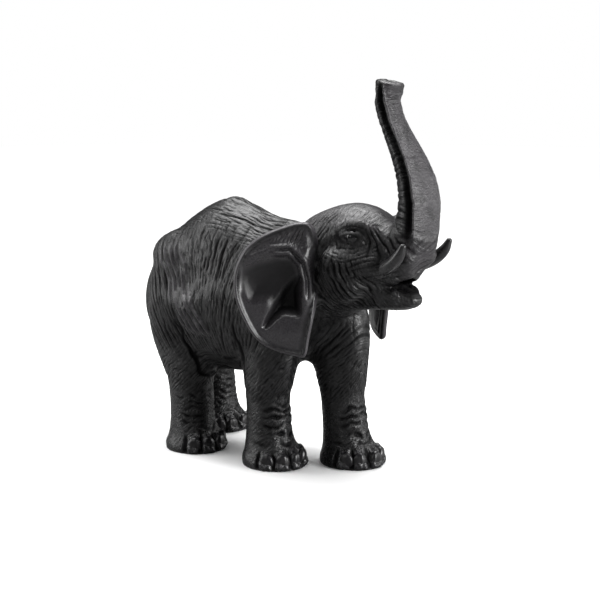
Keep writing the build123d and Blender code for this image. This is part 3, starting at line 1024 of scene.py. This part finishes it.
def ear_heights(flat, gap):
    """Heights of the ear's front and back over its plane, and the painted shade in its bowl.

    The spots are (out, up) and the gap is their distance to the ear's edge.
    """
    out, up = flat.T
    spots = np.column_stack([out, up, np.zeros(len(out))])
    cup = (out - EAR_MIDDLE[0]) ** 2 / (2 * EAR_CUP_RADIUS)
    # The front edge dives into the head, except at the free lower flap.
    cup -= (7 - out).clip(0) ** 2 / 9 * smooth_step(up, -24, -8)
    rim = 1.1 * bell(gap, 1.6, 1.3) - 0.6 * bell(gap, 4.8, 2.0)
    bowl = depth_within(flat + 0.5 * noise(spots / 9)[:, None], EAR_BOWL)
    corner = depth_within(flat, EAR_CORNER)
    sunk = -3.0 * smooth_step(bowl, -2.0, 6.5) - 1.2 * smooth_step(bowl, 2, 12)
    sunk -= 5.0 * smooth_step(corner, -2.5, 5.0)
    # The upper edge folds over in a broad roll, with a thin crease under it.
    roll = 2.6 * smooth_step(up, 10, 24) * bell(bowl, -5.0, 4.0) * smooth_step(gap, 0, 5)
    fold = near_line(flat, EAR_FOLD)
    lines = 1.0 * bell(fold, 2.6, 1.4) - 1.5 * bell(fold, 0, 1.1)
    lines *= smooth_step(up, -10, 2) * smooth_step(34 - out, 0, 12)
    plate = 1.2 * near(spots, (22, -30, 0), (22, 13, 1))
    radial = furrows(out + 0.5 * up + 1.2 * noise(spots / 14), up, 2.9, 2.5, reach=11)
    wrinkles = 1.1 * radial * smooth_step(up, 24, 32) * (1 - smooth_step(out, 16, 34))
    front = 1.2 + cup + rim + roll + lines + sunk + plate - wrinkles
    front += 0.3 * noise(spots / 13 + 4) + 0.08 * noise(spots / 4 + 9)
    fan = np.arctan2(up + 4, out + 12)
    veins = furrows(34 * fan + 2 * noise(spots / 18), out, 5.2, 5.5, reach=22)
    back = cup + sunk * 0.9 - 2.0 - smooth_step(gap, 3, 14) * (1 - veins)
    thin = 1.0 + 2.4 * smooth_step(gap, 0, 6)
    # Painted shade in the bowl, darkest in its deep corner
    dark = 0.65 * smooth_step(bowl, -2, 5) + 0.35 * smooth_step(corner, -2, 4)
    return front, np.minimum(back, front - thin), dark


EAR_AROUND = 440
EAR_RINGS = 96
EAR_RIM = 1.8


def ear_faces(inner, offset):
    """Both faces of a disc of rings, which share the outermost ring.

    The back's points follow the front's, offset places on, for the first inner points.
    """
    faces = []
    for ring in range(EAR_RINGS):
        for k in range(EAR_AROUND):
            outer = 1 + ring * EAR_AROUND + k
            outer_after = 1 + ring * EAR_AROUND + (k + 1) % EAR_AROUND
            if ring == 0:
                faces.append((0, outer, outer_after))
            else:
                faces.append((outer - EAR_AROUND, outer, outer_after, outer_after - EAR_AROUND))
    backs = [tuple(k + offset if k < inner else k for k in reversed(face)) for face in faces]
    return faces + backs


def ear(side_name):
    """A cupped ear: a front and a back that meet in a rounded rim."""
    side = SIDES[side_name]
    edge = rounded_loop(EAR_EDGE, EAR_AROUND)
    middle = np.array(EAR_MIDDLE, float)
    share = np.linspace(0, 1, EAR_RINGS + 1)[1:] ** 0.9
    rings = middle + share[:, None, None] * (edge - middle)
    spots = np.concatenate([middle[None], rings.reshape(-1, 2)])
    gap = loop_gap(spots, edge)
    front, back, dark = ear_heights(spots, gap)
    meet = (front + back) / 2
    close = np.sqrt(1 - (1 - np.clip(gap / EAR_RIM, 0, 1)) ** 2)
    front, back = meet + close * (front - meet), meet + close * (back - meet)

    root, outward, facing = ear_frame(side)
    places = root + spots[:, :1] * outward + spots[:, 1:] * np.array([0, 0, 1])
    inner = len(spots) - EAR_AROUND
    points = np.concatenate([places + front[:, None] * facing, (places + back[:, None] * facing)[:inner]])
    faces = ear_faces(inner, len(spots))
    if side > 0:
        faces = [tuple(reversed(face)) for face in faces]
    obj = new_object(f"ear_{side_name}_carving", points, faces)
    show(obj, f"ear_{side_name}", "ebonised_wood")
    # Painted highlight on the rim and the plate outside the bowl; painted shade in the bowl through a lower
    # crest
    highlight_mask = 0.45 * (1 - dark) * smooth_step(gap, 2, 6) + 0.9 * (1 - smooth_step(gap, 0.8, 2.5))
    fronts = {"crest": 0.62 - 0.5 * dark, "bare": highlight_mask, "polish": smooth_step(gap, 3, 8)}
    backs = {"crest": 0.6, "bare": 0.1, "polish": 0.0}
    for mark_name, values in fronts.items():
        mark(obj, mark_name, np.concatenate([values, np.full(inner, backs[mark_name])]))


# ---------------- tusks, tail, eyes, nails
# Rings of the left tusk and the tail, as (x, y, z, radius), where the CAD's run
TUSK_RINGS = (
    *((80, 18, 148, 4.9), (87, 20, 148.6, 4.9), (94.5, 22, 150.8, 4.7)),
    *((102, 23.8, 154.6, 4.3), (108, 24.9, 160.2, 3.6), (111.5, 25.4, 166.5, 2.0)),
)
TAIL_RINGS = (
    *((-128, 0, 139, 4.6), (-134, 0, 138, 4.4), (-143, 0.5, 131, 4.2), (-147, 1.5, 116, 3.6)),
    *((-146.5, 3, 99, 3.1), (-142, 4, 81, 2.9), (-137, 5, 67, 4.4)),
    *((-133.5, 5, 55, 3.6), (-132, 5, 47, 1.2)),
)
DOME_ANGLES = (0.3, 0.6, 0.9, 1.2, 1.45)  # of the rings that round off a bar's ends
DOME_HEIGHT = 0.8  # of the end's radius


def swept(rings, per_ring, around):
    """A rounded bar through rings: its points, quads, spokes, length so far and angles round."""
    rings = np.array(rings, float)
    place = np.linspace(0, len(rings) - 1, (len(rings) - 1) * per_ring + 1)
    index = np.minimum(place.astype(int), len(rings) - 2)
    held = np.vstack([2 * rings[0] - rings[1], rings, 2 * rings[-1] - rings[-2]])
    line = curve_through(*(held[index + k] for k in range(4)), (place - index)[:, None])
    way = unit(np.gradient(line[:, :3], axis=0))
    sideways = unit(np.cross(way, (0, 1, 0)))
    across = np.cross(way, sideways)
    angle = np.linspace(0, 2 * math.pi, around, endpoint=False)
    spokes = np.multiply.outer(np.cos(angle), sideways) + np.multiply.outer(np.sin(angle), across)
    spokes = spokes.swapaxes(0, 1)
    points = line[:, None, :3] + line[:, None, 3:] * spokes
    quads = ring_quads([r * around for r in range(len(place))], around)
    lengths = np.linalg.norm(np.diff(line[:, :3], axis=0), axis=1)
    return points, quads, spokes, np.concatenate([[0], np.cumsum(lengths)]), angle


def ring_quads(rows, around, turn=1):
    """Quads between neighbouring rings of points, which start at the given rows."""
    return [
        (low + k, low + (k + 1) % around, high + (k + 1) % around, high + k)[::turn]
        for low, high in zip(rows, rows[1:])
        for k in range(around)
    ]


def capped(name, points, quads):
    """A swept bar as an object, with a domed end at both ends."""
    rings, around = points.shape[:2]
    flat = points.reshape(-1, 3)
    faces = list(quads)
    for ring, other, turn in ((0, 1, -1), (rings - 1, rings - 2, 1)):
        middle = points[ring].mean(0)
        spokes = points[ring] - middle
        rise = DOME_HEIGHT * np.linalg.norm(spokes, axis=1).mean() * unit(middle - points[other].mean(0))
        rows = [ring * around] + [len(flat) + k * around for k in range(len(DOME_ANGLES))]
        domes = [middle + math.cos(a) * spokes + math.sin(a) * rise for a in DOME_ANGLES]
        flat = np.vstack([flat, *domes, middle + rise])
        faces += ring_quads(rows, around, turn)
        top = len(flat) - 1
        faces += [(rows[-1] + k, rows[-1] + (k + 1) % around, top)[::turn] for k in range(around)]
    return new_object(name, flat, faces)


def outward_faces(obj):
    """Turns every face of a closed object outwards."""
    model = bmesh.new()
    model.from_mesh(obj.data)
    bmesh.ops.recalc_face_normals(model, faces=model.faces)
    model.to_mesh(obj.data)
    model.free()
    obj.data.polygons.foreach_set("use_smooth", np.ones(len(obj.data.polygons), bool))


def tusk(side_name):
    """A smooth tusk that curves up."""
    rings = [(*flipped((x, y, z), SIDES[side_name]), radius) for x, y, z, radius in TUSK_RINGS]
    points, quads, *_ = swept(rings, 14, 48)
    obj = capped(f"tusk_{side_name}_carving", points, quads)
    outward_faces(obj)
    show(obj, f"tusk_{side_name}", "tusk_wood")


def tail():
    """The tail, ringed down to a tuft of hair."""
    points, quads, spokes, lengths, angle = swept(TAIL_RINGS, 16, 64)
    along = lengths[:, None]
    tuft = smooth_step(along / lengths[-1], 0.66, 0.78)
    rings = np.abs(np.sin(np.pi * along / 3.4 + 0.5 * np.sin(angle))) ** 0.6
    hair = np.abs(np.sin(4.5 * angle + 1.2 * np.sin(along / 7))) ** 0.7
    rise = (1 - tuft) * 0.35 * (rings - 0.6) + tuft * 1.1 * (hair - 0.6)
    obj = capped("tail_carving", points + rise[..., None] * spokes, quads)
    outward_faces(obj)
    show(obj, "tail", "ebonised_wood")
    # crest paints shade into the grooves between the rings
    crest_values = np.full(len(obj.data.vertices), 0.5)
    crest_values[: rise.size] = crest_of(rise).ravel()
    mark(obj, "crest", crest_values)


def ball(rows, around):
    """Unit directions over a sphere, its two poles last, and the faces between them."""
    polar = np.linspace(0, math.pi, rows + 1)[1:-1, None]
    turn = np.linspace(0, 2 * math.pi, around, endpoint=False)
    ways = [np.sin(polar) * np.cos(turn), np.sin(polar) * np.sin(turn), np.cos(polar) + 0 * turn]
    ways = np.vstack([np.stack(ways, -1).reshape(-1, 3), (0, 0, 1), (0, 0, -1)])
    starts = [row * around for row in range(rows - 1)]
    faces = ring_quads(starts, around, -1)
    top, bottom, last = len(ways) - 2, len(ways) - 1, starts[-1]
    faces += [(k, (k + 1) % around, top) for k in range(around)]
    faces += [(last + (k + 1) % around, last + k, bottom) for k in range(around)]
    return ways, faces


def eye(side_name):
    """A bead with a flat, ringed iris."""
    side = SIDES[side_name]
    ways, faces = ball(48, 96)
    turn = math.radians(LID_TURN)
    gaze = unit(np.array([math.sin(turn), side * math.cos(turn), 0.05]))
    off = np.degrees(np.arccos(np.clip(ways @ gaze, -1, 1)))
    radius = EYE_RADIUS - 0.18 * bell(off, 34, 3.5) + 0.25 * (1 - smooth_step(off, 10, 34))
    obj = new_object(f"eye_{side_name}_bead", centre_of(f"eye_{side_name}") + ways * radius[:, None], faces)
    outward_faces(obj)
    show(obj, f"eye_{side_name}", "eye_bead")


NAIL_HALF_SIZES = (3.2, 5.2, 5.6)  # forward, sideways and up


def squared(values):
    """Unit values pushed a little outwards, so that a ball turns into a rounded block."""
    return np.sign(values) * np.abs(values) ** 0.9


def toenails(name):
    """All nails of one foot: ridged plates that narrow upwards."""
    cad_points = points_of(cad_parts[f"toenails_{name}"].data)
    angle, _ = round_foot(cad_points, name)
    end, side_name = name.split("_")
    ways, ball_faces = ball(32, 48)
    deep, half_width, half_height = NAIL_HALF_SIZES
    points, faces = [], []
    for turn in np.radians(TOE_TURNS[end]):
        held = cad_points[np.abs(angle - turn) < math.radians(15)]
        centre = (held.min(0) + held.max(0)) / 2
        ahead = np.array([math.cos(turn), SIDES[side_name] * math.sin(turn), 0])
        along = np.array([-ahead[1], ahead[0], 0])
        forward, sideways, up = ways @ ahead, ways @ along, ways[:, 2]
        plate = deep * squared(forward) + 0.1 * np.sin(9 * sideways) * (forward > 0) - 0.1
        width = half_width * squared(sideways) * (1 - 0.22 * up)
        height = half_height * squared(up)
        faces += [tuple(len(points) * len(ways) + index for index in face) for face in ball_faces]
        points.append(centre + np.stack([plate, width, height], 1) @ np.array([ahead, along, (0, 0, 1)]))
    points = np.vstack(points)
    points[:, 2] = np.maximum(points[:, 2], 0.1)
    obj = new_object(f"toenails_{name}_inlaid", points, faces)
    outward_faces(obj)
    show(obj, f"toenails_{name}", "toenail_wood")


# ---------------- finishes
class Finish:
    """A material under construction: nodes by short calls."""

    def __init__(self, name):
        self.material = bpy.data.materials.new(name)
        self.material.use_nodes = True
        self.tree = self.material.node_tree
        self.shader = self.tree.nodes["Principled BSDF"]
        self.place = self.node("TexCoord").outputs["Object"]

    def node(self, kind, **values):
        """A new node; each value sets the socket of that name, with _ for a space."""
        node = self.tree.nodes.new(f"ShaderNode{kind}")
        for name, value in values.items():
            node.inputs[name.replace("_", " ")].default_value = value
        return node

    def link(self, source, target):
        """Joins an output to an input."""
        self.tree.links.new(source, target)

    def grain(self, vector, scale, **values):
        """Noise over a vector whose axes are first scaled."""
        mapping = self.node("Mapping", Scale=scale)
        self.link(vector, mapping.inputs["Vector"])
        noise_node = self.node("TexNoise", **values)
        self.link(mapping.outputs["Vector"], noise_node.inputs["Vector"])
        return noise_node.outputs["Fac"]

    def noise(self, size, detail=4.0, stretch=(1, 1, 1)):
        """Noise whose grain is size mm, drawn out along an axis by stretch."""
        scale = tuple(1 / share for share in stretch)
        return self.grain(self.place, scale, Scale=1 / (size * MM), Detail=detail, Roughness=0.55)

    def attribute(self, name, output="Fac"):
        """A value stored in the mesh's points."""
        node = self.node("Attribute")
        node.attribute_name = name
        return node.outputs[output]

    def hatching(self, name, across, along):
        """Noise drawn out along one of the hide's flows; across and along are its grain in mm."""
        flow = self.attribute(f"{name}_flow", "Vector")
        lines = self.grain(flow, (1 / across, 1 / along, 1), Scale=1.0, Detail=3.0, Roughness=0.6)
        return self.maths("MULTIPLY", self.maths("SUBTRACT", lines, 0.5), self.attribute(f"{name}_share"))

    def span(self, source, from_low, from_high, low, high):
        """A value's range spread over another one, and held at its ends."""
        node = self.node("MapRange", From_Min=from_low, From_Max=from_high, To_Min=low, To_Max=high)
        self.link(source, node.inputs["Value"])
        return node.outputs["Result"]

    def maths(self, what, first, second):
        """One operation on two values, each a number or a socket."""
        node = self.node("Math")
        node.operation = what
        for socket, value in zip(node.inputs, (first, second)):
            if isinstance(value, (int, float)):
                socket.default_value = value
            else:
                self.link(value, socket)
        return node.outputs["Value"]

    def mix(self, share, first, second):
        """A colour between two, each a colour or a socket."""
        node = self.node("Mix")
        node.data_type = "RGBA"
        self.link(share, node.inputs["Factor"])
        for socket, value in ((node.inputs[6], first), (node.inputs[7], second)):
            if isinstance(value, tuple):
                socket.default_value = (*value, 1)
            else:
                self.link(value, socket)
        return node.outputs[2]

    def bump(self, height, depth, under=None):
        """Raises the shading by height times depth mm."""
        node = self.node("Bump", Strength=1.0, Distance=depth * MM)
        self.link(height, node.inputs["Height"])
        if under is not None:
            self.link(under, node.inputs["Normal"])
        return node.outputs["Normal"]


# Grain of the fine hatching on each region, across and along its lines in mm
HATCHING = {"flank": (1.5, 9), "back": (1.4, 11), "leg": (1.3, 7), "head": (1.5, 6), "trunk": (1.5, 5)}
# Painted shade in the cuts, the eye sockets and the mouth
CUT_SHADE_BLACK = (0.0010, 0.0010, 0.0012)
STAIN_DARK = (0.0040, 0.0038, 0.0043)
STAIN_LIGHT = (0.0085, 0.0082, 0.0088)
# Painted highlights: grey on the ridges, and grey on trunk front, palate, brow, crown and folds
RIDGE_HIGHLIGHT_GREY = (0.050, 0.049, 0.052)
PAINTED_LIGHT_GREY = (0.052, 0.048, 0.053)
DOWEL_DARK = (0.30, 0.19, 0.10)
DOWEL_LIGHT = (0.50, 0.35, 0.21)


def ebonised_wood():
    """Near-black stained and waxed wood, dull in the cuts, with painted shade in the cuts and painted
    highlights on the ridges and other lit places.
    """
    f = Finish("ebonised_wood")
    crest_share = f.attribute("crest")
    polish = f.attribute("polish")
    bare = f.attribute("bare")
    first, *others = [f.hatching(name, *grain) for name, grain in HATCHING.items()]
    hatching = first
    for lines in others:
        hatching = f.maths("ADD", hatching, lines)
    # Colour: painted shade, black, in the cuts; stain above them; painted highlight grey on the ridges and
    # on the places of the painted-highlight mark
    stain = f.mix(f.span(f.noise(9.0), 0.35, 0.65, 0, 1), STAIN_DARK, STAIN_LIGHT)
    # Painted shade: the stain darkened to black in the cuts
    cut_shaded_stain = f.mix(f.span(crest_share, 0.30, 0.58, 0, 1), CUT_SHADE_BLACK, stain)
    ridge = f.span(f.maths("ADD", crest_share, hatching), 0.52, 0.80, 0, 1)
    # Painted highlight on the ridges
    highlight_mask = f.maths("MULTIPLY", ridge, f.span(f.noise(2.2), 0.4, 0.7, 0, 1))
    hide = f.mix(highlight_mask, cut_shaded_stain, RIDGE_HIGHLIGHT_GREY)
    f.link(f.mix(bare, hide, PAINTED_LIGHT_GREY), f.shader.inputs["Base Color"])
    # Sheen: wax on the ridges, none in the cuts
    dull = f.span(crest_share, 0.25, 0.55, 0.55, 0.30)
    rough = f.maths("ADD", dull, f.span(f.noise(1.6), 0.3, 0.7, -0.06, 0.08))
    rough = f.maths("ADD", rough, f.maths("MULTIPLY", bare, 0.12))
    rough = f.maths("SUBTRACT", rough, f.maths("MULTIPLY", polish, 0.08))
    f.link(rough, f.shader.inputs["Roughness"])
    f.link(f.span(crest_share, 0.1, 0.5, 0.12, 0.5), f.shader.inputs["Specular IOR Level"])
    # Fine relief: the hatching, and pores away from the polished places and the painted highlights
    filled = f.maths("MAXIMUM", f.maths("MULTIPLY", polish, 0.6), f.maths("MULTIPLY", bare, 0.75))
    pores = f.maths("MULTIPLY", f.noise(0.9, 5), f.maths("SUBTRACT", 1.0, filled))
    f.link(f.bump(pores, 0.12, under=f.bump(hatching, 0.9)), f.shader.inputs["Normal"])
    return f.material


def plain_wood(name, dark, light, rough, size, depth):
    """Stained wood in two near shades, with its own roughness and pore depth."""
    f = Finish(name)
    cloud = f.noise(size, stretch=(1, 1, 3))
    f.link(f.mix(f.span(cloud, 0.35, 0.65, 0, 1), dark, light), f.shader.inputs["Base Color"])
    f.link(f.span(f.noise(size / 3), 0.3, 0.7, rough - 0.05, rough + 0.07), f.shader.inputs["Roughness"])
    f.link(f.bump(f.noise(0.7, 5), depth), f.shader.inputs["Normal"])
    return f.material


def dowel_wood():
    """Pale turned hardwood with fine streaks along the grain."""
    f = Finish("dowel_wood")
    streaks = f.noise(0.9, stretch=(1, 1, 12))
    f.link(f.mix(f.span(streaks, 0.3, 0.7, 0, 1), DOWEL_DARK, DOWEL_LIGHT), f.shader.inputs["Base Color"])
    f.link(f.span(streaks, 0.3, 0.7, 0.5, 0.7), f.shader.inputs["Roughness"])
    f.link(f.bump(streaks, 0.06), f.shader.inputs["Normal"])
    return f.material


# Dark and light shade, roughness, cloud size and pore depth in mm
PLAIN_WOODS = {
    "tusk_wood": ((0.010, 0.010, 0.011), (0.020, 0.019, 0.020), 0.3, 6.0, 0.04),
    "eye_bead": ((0.004, 0.004, 0.004), (0.008, 0.008, 0.009), 0.1, 3.0, 0.01),
    "toenail_wood": ((0.005, 0.005, 0.006), (0.012, 0.011, 0.012), 0.32, 4.0, 0.05),
}
FINISHES = {"ebonised_wood": ebonised_wood(), "dowel_wood": dowel_wood()}
FINISHES |= {name: plain_wood(name, *looks) for name, looks in PLAIN_WOODS.items()}

# ---------------- all pieces
for number, name in enumerate(PIECES):
    body_piece(name, number)
for side_name in SIDES:
    ear(side_name)
    tusk(side_name)
    eye(side_name)
tail()
for name in LEG_NAMES:
    toenails(name)
for node in ("neck_dowels", "trunk_dowel", *(f"leg_dowels_{name}" for name in LEG_NAMES)):
    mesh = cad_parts[node].data
    mesh.materials.clear()
    mesh.materials.append(FINISHES["dowel_wood"])


# ---------------- stage, lights, camera
CAMERA_PLACE = (559.7, -618.1, 247.1)
CAMERA_TARGET = (0.63, 0.0, 117.8)
CAMERA_LENS = 70.5
FLOOR_HALF = 8.0
FLOOR_POLISH = 0.08  # share of the floor that mirrors
FLOOR_TONES = (0.20, 0.95)  # to the object, which keeps its underside dark, and to the camera
WORLD_STRENGTHS = (0.02, 1.0)  # to the object, and to the camera
SKY_LIGHT = (3.7, 60, (-0.25, 0.15, 1.2))  # strength, spread in degrees and place in metres
LIT_MIDDLE = (0.0, 0.0, 0.13)
# Soft lamps: (place, width and height, power), in metres and watts
SOFTBOXES = {
    "overhead_softbox": ((-0.15, 0.35, 1.3), (1.4, 1.1), 18),
    "left_softbox": ((-1.15, -0.65, 0.65), (0.8, 1.2), 12),
    "right_softbox": ((1.3, 0.3, 0.42), (0.5, 0.8), 21),
    "rear_softbox": ((0.65, 1.25, 0.35), (0.7, 0.6), 4),
    "front_softbox": ((0.1, -1.4, 0.9), (0.3, 0.7), 3.5),
}


def placed(name, data, place, target):
    """An object with its data, whose -Z looks from its place at a target, in metres."""
    obj = bpy.data.objects.new(name, data)
    bpy.context.scene.collection.objects.link(obj)
    obj.location = place
    way = Vector(target) - obj.location
    obj.rotation_euler = way.to_track_quat("-Z", "Y").to_euler()
    return obj


def camera():
    """The photo's view of the carving."""
    data = bpy.data.cameras.new("camera")
    data.lens = CAMERA_LENS
    data.sensor_width = 36.0
    data.clip_end = 20.0
    bpy.context.scene.camera = placed("camera", data, to_row(CAMERA_PLACE), to_row(CAMERA_TARGET))


def softbox(name, place, size, power):
    """A rectangular lamp turned to the carving."""
    data = bpy.data.lights.new(name, "AREA")
    data.shape = "RECTANGLE"
    data.size, data.size_y = size
    data.energy = power
    placed(name, data, place, LIT_MIDDLE)


def sky_light(strength, spread, place):
    """A very soft lamp that lights the whole floor alike."""
    data = bpy.data.lights.new("overhead", "SUN")
    data.energy = strength
    data.angle = math.radians(spread)
    placed("overhead", data, place, (0, 0, 0))


def camera_tone(tree, to_object, to_camera):
    """One value for the camera's rays and another for all others."""
    path = tree.nodes.new("ShaderNodeLightPath")
    tone = tree.nodes.new("ShaderNodeMapRange")
    tone.inputs["To Min"].default_value = to_object
    tone.inputs["To Max"].default_value = to_camera
    tree.links.new(path.outputs["Is Camera Ray"], tone.inputs["Value"])
    return tone.outputs["Result"]


def floor():
    """A white floor with a faint polish."""
    mesh = bpy.data.meshes.new("floor")
    corners = [(x * FLOOR_HALF, y * FLOOR_HALF, 0) for x, y in ((-1, -1), (1, -1), (1, 1), (-1, 1))]
    mesh.from_pydata(corners, [], [(0, 1, 2, 3)])
    obj = bpy.data.objects.new("floor", mesh)
    bpy.context.scene.collection.objects.link(obj)
    paper = bpy.data.materials.new("floor_white")
    paper.use_nodes = True
    nodes, links = paper.node_tree.nodes, paper.node_tree.links
    nodes.remove(nodes["Principled BSDF"])
    matt = nodes.new("ShaderNodeBsdfDiffuse")
    polish = nodes.new("ShaderNodeBsdfGlossy")
    polish.inputs["Color"].default_value = (1, 1, 1, 1)
    polish.inputs["Roughness"].default_value = 0.12
    blend = nodes.new("ShaderNodeMixShader")
    blend.inputs["Fac"].default_value = FLOOR_POLISH
    links.new(matt.outputs["BSDF"], blend.inputs[1])
    links.new(polish.outputs["BSDF"], blend.inputs[2])
    links.new(camera_tone(paper.node_tree, *FLOOR_TONES), matt.inputs["Color"])
    links.new(blend.outputs["Shader"], nodes["Material Output"].inputs["Surface"])
    mesh.materials.append(paper)


def studio():
    """A white surround to the camera and a dim one to the object."""
    world = bpy.data.worlds.new("studio")
    bpy.context.scene.world = world
    world.use_nodes = True
    background = world.node_tree.nodes["Background"]
    background.inputs["Color"].default_value = (1, 1, 1, 1)
    strength = camera_tone(world.node_tree, *WORLD_STRENGTHS)
    world.node_tree.links.new(strength, background.inputs["Strength"])


studio()
bpy.context.scene.view_settings.view_transform = "Standard"
camera()
floor()
sky_light(*SKY_LIGHT)
for name, lamp in SOFTBOXES.items():
    softbox(name, *lamp)
